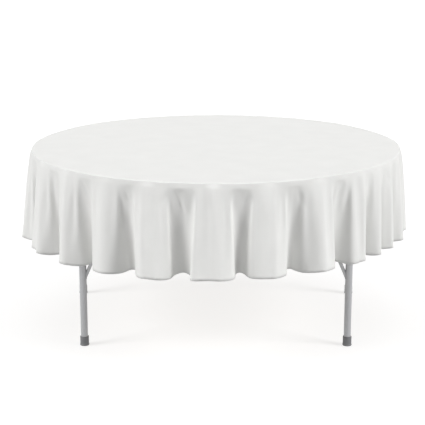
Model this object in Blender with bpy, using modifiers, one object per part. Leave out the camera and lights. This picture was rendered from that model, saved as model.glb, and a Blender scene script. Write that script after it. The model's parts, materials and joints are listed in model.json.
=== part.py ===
"""Round folding table with a white round tablecloth draped over it.

Metres, +Z up. The origin is on the floor under the middle of the table, -Y is the
front and +X the right-hand side. The table stands on two folding leg frames. The
narrow front frame and the wide rear frame turn about hinge tubes under the top, and
each is held upright by a two-link brace. The cloth lies over all of it and lifts off.
"""
import math

import bmesh
import bpy
import numpy as np
from mathutils import Matrix, Vector

# Table top
TABLE_HEIGHT = 0.762
TABLE_RADIUS = 0.762
TOP_THICKNESS = 0.019
EDGE_BAND_THICKNESS = 0.003
ROUND_SIDES = 96

# Cloth
CLOTH_DIAMETER = 2.240
CLOTH_WALL = 0.002
CLOTH_OFFSET_X = -0.010
RIM_BEND = 0.003
SKIRT_ROWS = 5
FLARE_POWER = 1.15
STEPS_PER_FOLD = 6
# One fold a line: direction in degrees from the front towards +X, and how far its
# ridge stands out at the hem.
FOLDS = (
    (-83.0, 0.050), (-62.0, 0.052), (-47.0, 0.055), (-32.0, 0.052), (-19.0, 0.046),
    (-0.5, 0.046), (15.0, 0.044), (29.5, 0.042), (46.0, 0.038), (54.5, 0.034),
    (62.5, 0.034), (71.5, 0.036), (84.0, 0.048), (97.0, 0.048), (109.0, 0.044),
    (121.0, 0.040), (135.0, 0.046), (149.0, 0.042), (164.0, 0.048), (180.0, 0.050),
    (196.0, 0.048), (211.0, 0.044), (226.0, 0.048), (239.0, 0.040), (250.0, 0.042),
    (263.0, 0.044),
)

# Steel tubes: outer radius and wall
LEG_TUBE = (0.0143, 0.0012)
HINGE_TUBE = (0.0127, 0.0015)
STRUT_TUBE = (0.0070, 0.0010)
CROSSBAR_TUBE = (0.0080, 0.0012)
TUBE_SIDES = 20

# Leg frames
HINGE_SPACING = 0.696
FRONT_HALF_WIDTH = 0.533
REAR_HALF_WIDTH = 0.612
REAR_HINGE_DROP = 0.022
FRONT_HINGE_DROP = 0.058
STRUT_FOOT_HEIGHT = 0.265
STRUT_LEAN = math.radians(23.5)
CROSSBAR_DROP = 0.215

# Foot caps
CAP_HEIGHT = 0.038
CAP_WALL = 0.0030
CAP_FLARE = 0.0012
CAP_FLOOR = 0.006

# Hinge brackets
PLATE = 0.003
BRACKET_LENGTH = 0.072
BRACKET_FLANGE = 0.034
BRACKET_EYE_WALL = 0.007
BRACKET_SIDE_GAP = 0.006
TUBE_END_STICKOUT = 0.007
SCREW_SPACING = 0.050

# Folding braces
BRACE_X = 0.050
LINK_THICKNESS = 0.004
LINK_END_RADIUS = 0.009
EYE_WALL = 0.006
ANCHOR_REACH = 0.160
ANCHOR_DROP = 0.018
UPPER_LINK_SHARE = 0.40
PIN_RADIUS = 0.004
PIN_HEAD_RADIUS = 0.0065
PIN_HEAD = 0.0025
ANCHOR_LENGTH = 0.040
ANCHOR_SCREW_SPACING = 0.024

# Screws
SCREW_SHANK_RADIUS = 0.0020
SCREW_HEAD_RADIUS = 0.0045
SCREW_HEAD = 0.0024
SCREW_LENGTH = 0.014

# Clearances
GAP = 0.0003
TURN_GAP = 0.0005
LINK_GAP = 0.0005

UNDERSIDE = TABLE_HEIGHT - TOP_THICKNESS
X_AXIS = Vector((1.0, 0.0, 0.0))
Z_AXIS = Vector((0.0, 0.0, 1.0))


def clear_scene():
    """Remove every object that the scene holds."""
    for item in list(bpy.data.objects):
        bpy.data.objects.remove(item, do_unlink=True)


def make_collection(name):
    """A new collection, linked to the scene."""
    collection = bpy.data.collections.new(name)
    bpy.context.scene.collection.children.link(collection)
    return collection


def make_material(name, colour, roughness, metallic):
    """A Principled material of one colour."""
    material = bpy.data.materials.new(name)
    material.use_nodes = True
    shader = material.node_tree.nodes["Principled BSDF"]
    shader.inputs["Base Color"].default_value = (*colour, 1.0)
    shader.inputs["Roughness"].default_value = roughness
    shader.inputs["Metallic"].default_value = metallic
    return material


clear_scene()
PARTS = make_collection("tablecloth_on_a_table")
CUTTERS = make_collection("cutters")
FINISHES = {
    "cloth": make_material("woven_polyester", (0.86, 0.86, 0.85), 0.85, 0.0),
    "board": make_material("plywood", (0.62, 0.45, 0.28), 0.6, 0.0),
    "band": make_material("vinyl_edge", (0.18, 0.16, 0.15), 0.5, 0.0),
    "steel": make_material("grey_powder_coat", (0.38, 0.38, 0.39), 0.45, 0.3),
    "zinc": make_material("zinc_plate", (0.60, 0.61, 0.62), 0.35, 1.0),
    "cap": make_material("grey_plastic", (0.22, 0.22, 0.23), 0.55, 0.0),
}


def place(item, collection, origin=None, direction=Z_AXIS):
    """Put an object in a collection, with its local Z along a direction."""
    collection.objects.link(item)
    turn = Z_AXIS.rotation_difference(direction).to_matrix().to_4x4()
    item.matrix_world = Matrix.Translation(origin or Vector()) @ turn
    return item


def add_part(name, mesh, finish, origin=None, direction=Z_AXIS):
    """A named sub-part with its own finish."""
    mesh.materials.append(FINISHES[finish])
    return place(bpy.data.objects.new(name, mesh), PARTS, origin, direction)


def turned(name, finish, profile, origin, direction=Z_AXIS, sides=TUBE_SIDES, closed=False):
    """A turned piece: a profile of (radius, height) points with a Screw modifier."""
    mesh = bpy.data.meshes.new(name)
    edges = [(i, i + 1) for i in range(len(profile) - 1)]
    if closed:
        edges.append((len(profile) - 1, 0))
    mesh.from_pydata([(radius, 0.0, height) for radius, height in profile], edges, [])
    item = add_part(name, mesh, finish, origin, direction)
    screw = item.modifiers.new("turn", "SCREW")
    screw.steps = screw.render_steps = sides
    screw.use_merge_vertices = True
    screw.merge_threshold = 0.0001
    return item


def tube(name, start, end, size, finish="steel"):
    """A straight hollow tube from start to end; size is its outer radius and wall."""
    radius, wall = size
    length = (end - start).length
    profile = ((radius, length), (radius, 0.0), (radius - wall, 0.0), (radius - wall, length))
    return turned(name, finish, profile, start, (end - start).normalized(), closed=True)


def cylinder_cutter(item, centre, direction, radius, depth, sides=TUBE_SIDES):
    """Cut a cylinder of a given depth, centred on a point, out of an object."""
    mesh = bpy.data.meshes.new("cutter")
    shape = bmesh.new()
    bmesh.ops.create_cone(shape, cap_ends=True, segments=sides, radius1=radius,
                          radius2=radius, depth=depth)
    shape.to_mesh(mesh)
    shape.free()
    add_boolean(item, mesh, centre, direction, "DIFFERENCE")


def add_boolean(item, mesh, origin, direction, operation):
    """Cut or join an object with a hidden helper."""
    helper = place(bpy.data.objects.new("cutter", mesh), CUTTERS, origin, direction)
    helper.hide_render = True
    helper.display_type = "WIRE"
    boolean = item.modifiers.new(operation.lower(), "BOOLEAN")
    boolean.operation = operation
    boolean.object = helper


def box_mesh(low, high):
    """A box between two corners."""
    mesh = bpy.data.meshes.new("box")
    shape = bmesh.new()
    bmesh.ops.create_cube(shape, size=1.0)
    size = high - low
    bmesh.ops.scale(shape, vec=size, verts=shape.verts)
    bmesh.ops.translate(shape, vec=(low + high) / 2, verts=shape.verts)
    shape.to_mesh(mesh)
    shape.free()
    return mesh


def screw(name, head_face):
    """A pan-head screw driven up into the top; head_face is where its head bears."""
    profile = (
        (0.0, SCREW_LENGTH),
        (SCREW_SHANK_RADIUS, SCREW_LENGTH - SCREW_SHANK_RADIUS),
        (SCREW_SHANK_RADIUS, -GAP),
        (SCREW_HEAD_RADIUS, -GAP),
        (SCREW_HEAD_RADIUS * 0.9, -GAP - SCREW_HEAD * 0.7),
        (0.0, -GAP - SCREW_HEAD),
    )
    return turned(name, "zinc", profile, head_face, sides=10)


class LegFrame:
    """One folding leg frame with its brackets and brace.

    side is -1 for the front frame and +1 for the rear one. Both fold towards the
    middle of the table.
    """

    def __init__(self, name, side, half_width, hinge_drop, brace_x, top):
        """Take the frame's sizes and the table top that it is screwed to."""
        self.name = name
        self.side = side
        self.half_width = half_width
        self.hinge_y = side * HINGE_SPACING / 2
        self.hinge_z = UNDERSIDE - hinge_drop
        self.brace_x = brace_x
        self.top = top

    def point(self, x, inward, z):
        """A point at x, a distance inward from the hinge, at height z."""
        return Vector((x, self.hinge_y - self.side * inward, z))

    def build(self):
        """Make every piece of the frame."""
        self.hinge_tube()
        for hand, sign in (("left", -1), ("right", 1)):
            self.leg(hand, sign)
            self.strut(hand, sign)
            self.foot_cap(hand, sign)
            self.hinge_bracket(hand, sign)
        self.crossbar()
        self.brace()

    def hinge_tube(self):
        """The tube that the frame turns on, through both brackets."""
        reach = self.half_width + LEG_TUBE[0] + BRACKET_SIDE_GAP + PLATE + TUBE_END_STICKOUT
        start = self.point(-reach, 0.0, self.hinge_z)
        self.hinge = tube(f"{self.name}_hinge_tube", start, self.point(reach, 0.0, self.hinge_z),
                          HINGE_TUBE)

    def cope_to_hinge(self, item, x):
        """Shape a tube's top end to sit against the hinge tube."""
        cylinder_cutter(item, self.point(x, 0.0, self.hinge_z), X_AXIS,
                        HINGE_TUBE[0] + GAP, LEG_TUBE[0] * 6)

    def leg(self, hand, sign):
        """One leg, from its foot cap to the hinge tube."""
        x = sign * self.half_width
        start = self.point(x, 0.0, CAP_FLOOR + GAP)
        item = tube(f"{self.name}_leg_{hand}", start, self.point(x, 0.0, self.hinge_z), LEG_TUBE)
        self.cope_to_hinge(item, x)

    def strut_x(self, height):
        """How far from the middle the strut's centre line is, at a height."""
        return self.half_width - (height - STRUT_FOOT_HEIGHT) * math.tan(STRUT_LEAN)

    def strut(self, hand, sign):
        """The thin strut that runs up and inward from the leg to the hinge tube."""
        start = self.point(sign * self.half_width, 0.0, STRUT_FOOT_HEIGHT)
        top_x = sign * self.strut_x(self.hinge_z)
        item = tube(f"{self.name}_strut_{hand}", start, self.point(top_x, 0.0, self.hinge_z),
                    STRUT_TUBE)
        cylinder_cutter(item, start, Z_AXIS, LEG_TUBE[0] + GAP, CROSSBAR_DROP)
        self.cope_to_hinge(item, top_x)

    def crossbar(self):
        """The bar between the two struts, which the brace holds."""
        height = self.hinge_z - CROSSBAR_DROP
        reach = self.strut_x(height)
        item = tube(f"{self.name}_crossbar", self.point(-reach, 0.0, height),
                    self.point(reach, 0.0, height), CROSSBAR_TUBE)
        for sign in (-1, 1):
            along = Vector((-sign * math.sin(STRUT_LEAN), 0.0, math.cos(STRUT_LEAN)))
            cylinder_cutter(item, self.point(sign * reach, 0.0, height), along,
                            STRUT_TUBE[0] + GAP, CROSSBAR_TUBE[0] * 8)

    def foot_cap(self, hand, sign):
        """The plastic cup on the leg's end, which stands on the floor."""
        inner = LEG_TUBE[0] + GAP
        outer = inner + CAP_WALL
        profile = (
            (inner, CAP_HEIGHT),
            (outer - 0.0006, CAP_HEIGHT),
            (outer, CAP_HEIGHT - 0.0015),
            (outer + CAP_FLARE, 0.004),
            (outer, 0.0),
            (0.0, 0.0),
        )
        floor = ((0.0, CAP_FLOOR), (inner, CAP_FLOOR), (inner, CAP_HEIGHT))
        turned(f"{self.name}_foot_cap_{hand}", "cap", profile + floor,
               self.point(sign * self.half_width, 0.0, 0.0), sides=24)

    def hinge_bracket(self, hand, sign):
        """An angle bracket: an ear with a hole for the hinge tube, and a flange."""
        hole = HINGE_TUBE[0] + TURN_GAP
        ear = sign * (self.half_width + LEG_TUBE[0] + BRACKET_SIDE_GAP)
        outer = ear + sign * PLATE
        inner = ear - sign * BRACKET_FLANGE
        half = BRACKET_LENGTH / 2
        bottom = self.hinge_z - hole - BRACKET_EYE_WALL
        top = UNDERSIDE - GAP
        ear_low = Vector((min(ear, outer), self.hinge_y - half, bottom))
        ear_high = Vector((max(ear, outer), self.hinge_y + half, top))
        item = add_part(f"{self.name}_hinge_bracket_{hand}", box_mesh(ear_low, ear_high), "zinc")
        flange_low = Vector((min(inner, outer), self.hinge_y - half, top - PLATE))
        flange_high = Vector((max(inner, outer), self.hinge_y + half, top))
        add_boolean(item, box_mesh(flange_low, flange_high), None, Z_AXIS, "UNION")
        cylinder_cutter(item, self.point(ear, 0.0, self.hinge_z), X_AXIS, hole, PLATE * 4)
        for number, inward in enumerate((-SCREW_SPACING / 2, SCREW_SPACING / 2), start=1):
            x = (inner + ear) / 2
            self.drive_screw(f"{self.name}_bracket_{hand}_screw_{number}", item,
                             self.point(x, inward, top - PLATE))

    def drive_screw(self, name, plate, head_face):
        """Put a screw through a plate into the top, with holes that clear it."""
        hole = SCREW_SHANK_RADIUS + GAP
        cylinder_cutter(plate, head_face, Z_AXIS, hole, PLATE * 4, sides=10)
        depth = 2 * (SCREW_LENGTH - PLATE)
        cylinder_cutter(self.top, Vector((head_face.x, head_face.y, UNDERSIDE)), Z_AXIS,
                        hole, depth, sides=10)
        screw(name, head_face)

    def brace(self):
        """The two-link brace between the crossbar and its anchor under the top."""
        crossbar = self.point(0.0, 0.0, self.hinge_z - CROSSBAR_DROP)
        anchor = self.point(0.0, ANCHOR_REACH, UNDERSIDE - ANCHOR_DROP)
        elbow = anchor.lerp(crossbar, UPPER_LINK_SHARE)
        eye = CROSSBAR_TUBE[0] + TURN_GAP
        pin_hole = PIN_RADIUS + GAP
        lower_x = self.brace_x
        upper_x = lower_x + LINK_THICKNESS + LINK_GAP
        ear_x = upper_x + LINK_THICKNESS + LINK_GAP
        self.link("lower", lower_x, crossbar, elbow, (eye + EYE_WALL, eye), pin_hole)
        self.link("upper", upper_x, anchor, elbow, (LINK_END_RADIUS, pin_hole), pin_hole)
        self.anchor_bracket(ear_x, anchor)
        self.pin("elbow_rivet", Vector((lower_x, elbow.y, elbow.z)), X_AXIS, LINK_THICKNESS)
        self.pin("anchor_pin", Vector((ear_x + PLATE, anchor.y, anchor.z)), -X_AXIS,
                 PLATE + LINK_GAP + LINK_THICKNESS)

    def link(self, place_name, x, start, end, start_end, end_hole):
        """A flat bar with a hole at each end; start_end is a radius and a hole radius."""
        start_radius, start_hole = start_end
        along = (end - start).normalized()
        length = (end - start).length
        lean = math.asin((start_radius - LINK_END_RADIUS) / length)
        curve = bpy.data.curves.new(f"{self.name}_{place_name}_link", "CURVE")
        curve.dimensions = "2D"
        curve.fill_mode = "BOTH"
        curve.extrude = LINK_THICKNESS / 2
        quarter = math.pi / 2
        outline = arc(0.0, start_radius, quarter - lean, 3 * quarter + lean, 10)
        outline += arc(length, LINK_END_RADIUS, -quarter + lean, quarter - lean, 8)
        add_spline(curve, outline)
        add_spline(curve, arc(0.0, start_hole, 0.0, 4 * quarter, 16)[:-1])
        add_spline(curve, arc(length, end_hole, 0.0, 4 * quarter, 12)[:-1])
        item = bpy.data.objects.new(f"{self.name}_{place_name}_link", curve)
        curve.materials.append(FINISHES["zinc"])
        PARTS.objects.link(item)
        side_axis = X_AXIS.cross(along)
        columns = Matrix((along, side_axis, X_AXIS)).transposed().to_4x4()
        centre = Vector((x + LINK_THICKNESS / 2, start.y, start.z))
        item.matrix_world = Matrix.Translation(centre) @ columns

    def anchor_bracket(self, x, anchor):
        """The small angle bracket that holds the upper link's pin."""
        top = UNDERSIDE - GAP
        half = ANCHOR_LENGTH / 2
        bottom = anchor.z - LINK_END_RADIUS
        low = Vector((x, anchor.y - half, bottom))
        high = Vector((x + PLATE, anchor.y + half, top))
        item = add_part(f"{self.name}_brace_anchor", box_mesh(low, high), "zinc")
        flange_low = Vector((x, anchor.y - half, top - PLATE))
        flange_high = Vector((x + BRACKET_FLANGE, anchor.y + half, top))
        add_boolean(item, box_mesh(flange_low, flange_high), None, Z_AXIS, "UNION")
        cylinder_cutter(item, Vector((x, anchor.y, anchor.z)), X_AXIS, PIN_RADIUS + GAP,
                        PLATE * 4, sides=12)
        for number, sign in enumerate((-1, 1), start=1):
            head_face = Vector((x + (PLATE + BRACKET_FLANGE) / 2,
                                anchor.y + sign * ANCHOR_SCREW_SPACING / 2, top - PLATE))
            self.drive_screw(f"{self.name}_anchor_screw_{number}", item, head_face)

    def pin(self, place_name, face, direction, length):
        """A headed pin; its head bears on the face that it is driven through."""
        profile = (
            (0.0, length),
            (PIN_RADIUS, length),
            (PIN_RADIUS, -GAP),
            (PIN_HEAD_RADIUS, -GAP),
            (PIN_HEAD_RADIUS * 0.85, -PIN_HEAD),
            (0.0, -PIN_HEAD - GAP),
        )
        turned(f"{self.name}_{place_name}", "zinc", profile, face, direction, sides=12)


def arc(centre_x, radius, start, end, steps):
    """Points on an arc about (centre_x, 0), from one angle to another."""
    angles = [start + (end - start) * i / steps for i in range(steps + 1)]
    return [(centre_x + radius * math.cos(a), radius * math.sin(a)) for a in angles]


def add_spline(curve, points):
    """Add a closed straight-sided spline to a flat curve."""
    spline = curve.splines.new("POLY")
    spline.points.add(len(points) - 1)
    for target, (x, y) in zip(spline.points, points):
        target.co = (x, y, 0.0, 1.0)
    spline.use_cyclic_u = True


def table_top():
    """The plywood disc, a clearance inside its edge band."""
    radius = TABLE_RADIUS - EDGE_BAND_THICKNESS - GAP
    profile = ((0.0, TOP_THICKNESS), (radius, TOP_THICKNESS), (radius, 0.0), (0.0, 0.0))
    return turned("table_top", "board", profile, Z_AXIS * UNDERSIDE, sides=ROUND_SIDES)


def edge_band():
    """The vinyl band round the top's edge, with rounded corners."""
    inner = TABLE_RADIUS - EDGE_BAND_THICKNESS
    corner = EDGE_BAND_THICKNESS * 0.7
    profile = (
        (TABLE_RADIUS - corner, TOP_THICKNESS),
        (TABLE_RADIUS - corner * 0.3, TOP_THICKNESS - corner * 0.3),
        (TABLE_RADIUS, TOP_THICKNESS - corner),
        (TABLE_RADIUS, corner),
        (TABLE_RADIUS - corner * 0.3, corner * 0.3),
        (TABLE_RADIUS - corner, 0.0),
        (inner, 0.0),
        (inner, TOP_THICKNESS),
    )
    turned("edge_band", "band", profile, Z_AXIS * UNDERSIDE, sides=ROUND_SIDES, closed=True)


def fold_grid():
    """Directions round the cloth and how far each stands out at the hem.

    Between two ridges the hem's reach falls to nothing and rises again, as one
    period of a raised cosine between the two ridges' own reaches.
    """
    ridges = np.radians([direction for direction, reach in FOLDS])
    reaches = np.array([reach for direction, reach in FOLDS])
    next_ridges = np.append(ridges[1:], ridges[0] + 2 * math.pi)
    next_reaches = np.roll(reaches, -1)
    part = np.arange(STEPS_PER_FOLD) / STEPS_PER_FOLD
    angles = ridges[:, None] + (next_ridges - ridges)[:, None] * part
    mixed = reaches[:, None] + (next_reaches - reaches)[:, None] * part
    wave = 0.5 + 0.5 * np.cos(2 * math.pi * part)
    return angles.ravel(), (mixed * wave).ravel()


def tablecloth():
    """The cloth: a flat disc on the top, a rounded rim and a folded skirt.

    It is a loft from the round rim to the wavy hem. Each row of the skirt stands out
    in proportion to how far down it is, and the hem is lower where the cloth's middle
    lies off the table's.
    """
    angles, reach = fold_grid()
    widest_step = np.diff(angles).max()
    inner_radius = TABLE_RADIUS / math.cos(widest_step / 2) + GAP
    sideways = np.sin(angles)
    forward = -np.cos(angles)
    overhang = CLOTH_DIAMETER / 2 - TABLE_RADIUS + CLOTH_OFFSET_X * sideways
    drop = np.sqrt(overhang ** 2 - reach ** 2)
    rim_height = TABLE_HEIGHT + GAP
    level = np.zeros_like(angles)
    rows = []
    for turn in (0.0, math.pi / 4):
        radius = inner_radius - RIM_BEND * (1 - math.sin(turn))
        rows.append((radius + level, rim_height - RIM_BEND * (1 - math.cos(turn)) + level))
    for row in range(SKIRT_ROWS + 1):
        share = row / SKIRT_ROWS
        height = rim_height - RIM_BEND - share * (drop - RIM_BEND)
        rows.append((inner_radius + reach * share ** FLARE_POWER, height))
    points = [(0.0, 0.0, rim_height)]
    for radius, height in rows:
        ring = np.stack([radius * sideways, radius * forward, height], axis=1)
        points += [tuple(point) for point in ring]
    count = angles.size
    faces = [(0, 1 + i, 1 + (i + 1) % count) for i in range(count)]
    for row in range(len(rows) - 1):
        first = 1 + row * count
        for i in range(count):
            j = (i + 1) % count
            faces.append((first + i, first + count + i, first + count + j, first + j))
    mesh = bpy.data.meshes.new("tablecloth")
    mesh.from_pydata(points, [], faces)
    item = add_part("tablecloth", mesh, "cloth")
    wall = item.modifiers.new("wall", "SOLIDIFY")
    wall.thickness = CLOTH_WALL
    wall.offset = 1.0
    mesh.shade_smooth()


def main():
    """Build the table, its two leg frames and the cloth."""
    top = table_top()
    edge_band()
    LegFrame("front", -1, FRONT_HALF_WIDTH, FRONT_HINGE_DROP, BRACE_X, top).build()
    LegFrame("rear", 1, REAR_HALF_WIDTH, REAR_HINGE_DROP, -BRACE_X, top).build()
    tablecloth()


main()
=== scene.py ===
"""A round folding table under a white woven tablecloth: its finished surfaces.

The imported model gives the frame: every piece here takes its place and size from a
part of it. The cloth is simulated over the table top from a flat round pattern, and
gets its sewn hem. The tubes, caps, board and fasteners are smooth swept or turned
surfaces over the plain ones, and every part gets a procedural finish.
"""
import json
import logging
import math
from dataclasses import dataclass, field
from enum import Enum
from typing import Dict, List, NamedTuple, Optional, Sequence, Tuple

import bpy
import numpy as np
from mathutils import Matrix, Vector


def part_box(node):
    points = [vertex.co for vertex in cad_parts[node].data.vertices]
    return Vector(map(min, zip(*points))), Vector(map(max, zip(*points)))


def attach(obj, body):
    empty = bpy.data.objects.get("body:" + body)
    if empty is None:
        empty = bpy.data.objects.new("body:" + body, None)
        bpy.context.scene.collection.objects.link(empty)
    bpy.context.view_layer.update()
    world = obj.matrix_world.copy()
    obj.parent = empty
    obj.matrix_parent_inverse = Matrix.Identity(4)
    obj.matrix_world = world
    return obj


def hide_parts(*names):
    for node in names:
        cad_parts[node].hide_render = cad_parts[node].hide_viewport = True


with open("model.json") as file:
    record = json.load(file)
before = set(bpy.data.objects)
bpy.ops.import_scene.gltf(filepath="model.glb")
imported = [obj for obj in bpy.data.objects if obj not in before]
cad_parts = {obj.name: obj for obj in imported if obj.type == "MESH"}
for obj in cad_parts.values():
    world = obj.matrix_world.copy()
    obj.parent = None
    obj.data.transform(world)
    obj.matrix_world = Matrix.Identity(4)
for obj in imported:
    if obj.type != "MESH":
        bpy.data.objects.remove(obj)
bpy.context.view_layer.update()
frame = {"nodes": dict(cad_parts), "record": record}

LOG = logging.getLogger("tablecloth_on_a_table")
MM = 0.001
SHARP_ANGLE = math.radians(50)

Colour = Tuple[float, float, float, float]
Point = Tuple[float, float, float]


# ---------------------------------------------------------------- names and options


class Body(str, Enum):
    """The bodies that pieces ride on."""

    TABLE = "table"
    CLOTH = "cloth"
    FRONT = "front_frame"
    REAR = "rear_frame"


class Slot(str, Enum):
    """The record's material slots."""

    CLOTH = "cloth"
    BOARD = "board"
    EDGE = "edge"
    STEEL = "leg_steel"
    ZINC = "zinc_hardware"
    CAP = "foot_cap"


class Side(Enum):
    """The two leg frames, by the name their parts start with and their body."""

    FRONT = ("front", Body.FRONT)
    REAR = ("rear", Body.REAR)

    @property
    def prefix(self) -> str:
        """What the names of this frame's parts start with."""
        return self.value[0]

    @property
    def body(self) -> Body:
        """The body that this frame's own tubes ride on."""
        return self.value[1]


class Axis(Enum):
    """The axes that fasteners lie along, by number."""

    ACROSS = 0
    UP = 2


# ---------------------------------------------------------------- finishes


def linear(code: str) -> Colour:
    """Turn an sRGB hex colour into the linear one that shaders take.

    Args:
        code: Six hex digits after a hash sign.

    Returns:
        Linear red, green and blue, and an alpha of 1.
    """
    channels = [int(code[start:start + 2], 16) / 255 for start in (1, 3, 5)]
    low = [value / 12.92 for value in channels]
    high = [((value + 0.055) / 1.055) ** 2.4 for value in channels]
    red, green, blue = (b if v > 0.04045 else a for v, a, b in zip(channels, low, high))
    return (red, green, blue, 1.0)


def add_node(tree: bpy.types.NodeTree, kind: str,
             settings: Optional[Dict[str, object]] = None, **links: object) -> bpy.types.Node:
    """Add a node, with its settings, values and links.

    Args:
        tree: The material's node tree.
        kind: The node's type name.
        settings: Attributes of the node itself.
        links: Inputs by name, with _ for a space, or by i and a number: an output
            socket is linked, and anything else is set as the input's value.

    Returns:
        The new node.
    """
    node = tree.nodes.new(kind)
    for name, value in (settings or {}).items():
        setattr(node, name, value)
    for name, value in links.items():
        key = int(name[1:]) if name[0] == "i" and name[1:].isdigit() else name.replace("_", " ")
        if isinstance(value, bpy.types.NodeSocket):
            tree.links.new(value, node.inputs[key])
        else:
            node.inputs[key].default_value = value
    return node


def band_scale(spacing_mm: float) -> float:
    """The scale that sets a wave texture's bands that many millimetres apart.

    At a scale of 1 the bands lie tau / 20 of a metre apart.

    Args:
        spacing_mm: The distance from one band to the next.

    Returns:
        The texture's scale.
    """
    return math.tau / 20 / (spacing_mm * MM)


def place_on_piece(tree: bpy.types.NodeTree) -> bpy.types.NodeSocket:
    """Where a point lies on its own piece, in metres."""
    return add_node(tree, "ShaderNodeTexCoord").outputs["Object"]


def emboss(tree: bpy.types.NodeTree, shader: bpy.types.Node, height: bpy.types.NodeSocket,
           strength: float, depth: float) -> None:
    """Let a pattern stand out from the surface.

    Args:
        tree: The material's node tree.
        shader: The surface.
        height: The pattern, 0 where it is low and 1 where it is high.
        strength: How much of it shows.
        depth: How high it is, in metres.
    """
    bump = add_node(tree, "ShaderNodeBump", Strength=strength, Distance=depth, Height=height)
    tree.links.new(bump.outputs["Normal"], shader.inputs["Normal"])


def two_tones(tree: bpy.types.NodeTree, shader: bpy.types.Node, pattern: bpy.types.NodeSocket,
              tones: Tuple[str, str], ends: Tuple[float, float] = (0.0, 1.0)) -> None:
    """Colour the surface from one tone to another.

    Args:
        tree: The material's node tree.
        shader: The surface.
        pattern: What decides the tone.
        tones: The two colours, as hex codes.
        ends: The pattern's values where the first tone ends and the second begins.
    """
    ramp = add_node(tree, "ShaderNodeValToRGB", Fac=pattern)
    for element, tone, end in zip(ramp.color_ramp.elements, tones, ends):
        element.color = linear(tone)
        element.position = end
    tree.links.new(ramp.outputs["Color"], shader.inputs["Base Color"])


@dataclass(frozen=True)
class Finish:
    """A material that a maker would name, and the record's slot that it belongs to."""

    name: str
    slot: Slot
    colour: str
    roughness: float

    def material(self) -> bpy.types.Material:
        """Give the Blender material, which is made the first time it is asked for.

        Returns:
            The material.
        """
        found = bpy.data.materials.get(self.name)
        if found:
            return found
        made = bpy.data.materials.new(self.name)
        made.use_nodes = True
        made.node_tree.nodes.clear()
        tree = made.node_tree
        shader = add_node(tree, "ShaderNodeBsdfPrincipled", Base_Color=linear(self.colour),
                          Roughness=self.roughness)
        output = add_node(tree, "ShaderNodeOutputMaterial")
        tree.links.new(shader.outputs["BSDF"], output.inputs["Surface"])
        self.detail(tree, shader)
        return made

    def detail(self, tree: bpy.types.NodeTree, shader: bpy.types.Node) -> None:
        """Add what this finish shows beyond one colour and one roughness.

        Args:
            tree: The material's node tree.
            shader: Its surface.
        """

    def dress(self, piece: bpy.types.Object) -> None:
        """Put the finish on a piece, in place of what it has.

        Args:
            piece: The piece.
        """
        piece.data.materials.clear()
        piece.data.materials.append(self.material())


@dataclass(frozen=True)
class WovenPolyester(Finish):
    """White spun polyester in a plain weave: matt, faintly napped, with tiny slubs."""

    thread_mm: float = 1.6
    weave_depth_mm: float = 0.05
    low_tone: str = "#E6E6E4"

    def detail(self, tree: bpy.types.NodeTree, shader: bpy.types.Node) -> None:
        """Warp and weft ridges on the cloth's own map, and slight tone changes.

        The map counts metres on the flat cloth, so the threads follow its folds. The
        real threads lie 0.4 mm apart; they are drawn four times as coarse to show.

        Args:
            tree: The material's node tree.
            shader: Its surface.
        """
        cloth_map = add_node(tree, "ShaderNodeUVMap", {"uv_map": "flat_cloth"}).outputs["UV"]
        heights = []
        for direction in ("X", "Y"):
            threads = add_node(
                tree, "ShaderNodeTexWave",
                {"wave_type": "BANDS", "bands_direction": direction, "wave_profile": "SIN"},
                Vector=cloth_map, Scale=band_scale(self.thread_mm), Distortion=0.0)
            heights.append(threads.outputs["Fac"])
        weave = add_node(tree, "ShaderNodeMath", {"operation": "MULTIPLY"},
                         i0=heights[0], i1=heights[1])
        slubs = add_node(tree, "ShaderNodeTexNoise", Vector=cloth_map, Scale=260.0, Detail=3.0)
        relief = add_node(tree, "ShaderNodeMath", {"operation": "ADD"},
                          i0=weave.outputs["Value"], i1=slubs.outputs["Fac"])
        emboss(tree, shader, relief.outputs["Value"], 0.35, self.weave_depth_mm * MM)
        tone = add_node(tree, "ShaderNodeTexNoise", Vector=cloth_map, Scale=9.0, Detail=4.0)
        two_tones(tree, shader, tone.outputs["Fac"], (self.low_tone, self.colour), (0.3, 0.7))
        shader.inputs["Sheen Weight"].default_value = 0.15
        shader.inputs["Sheen Roughness"].default_value = 0.5
        shader.inputs["Specular IOR Level"].default_value = 0.25


@dataclass(frozen=True)
class SewingThread(Finish):
    """White polyester sewing thread: a two-ply twist with a slight sheen."""

    twist_mm: float = 1.2
    # the darker tone is painted shade, put in the grooves between the plies
    low_tone: str = "#D2D2CF"

    def detail(self, tree: bpy.types.NodeTree, shader: bpy.types.Node) -> None:
        """The plies show as slanting bands, painted paler on top and darker between them: painted
        shade in the grooves.

        Args:
            tree: The material's node tree.
            shader: Its surface.
        """
        ply_groove_shade = add_node(tree, "ShaderNodeTexWave",
                         {"wave_type": "BANDS", "bands_direction": "DIAGONAL"},
                         Vector=place_on_piece(tree), Scale=band_scale(self.twist_mm))
        # painted shade: the grooves between the plies are coloured darker and the ply tops paler
        two_tones(tree, shader, ply_groove_shade.outputs["Fac"], (self.low_tone, self.colour))
        shader.inputs["Sheen Weight"].default_value = 0.3


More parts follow.
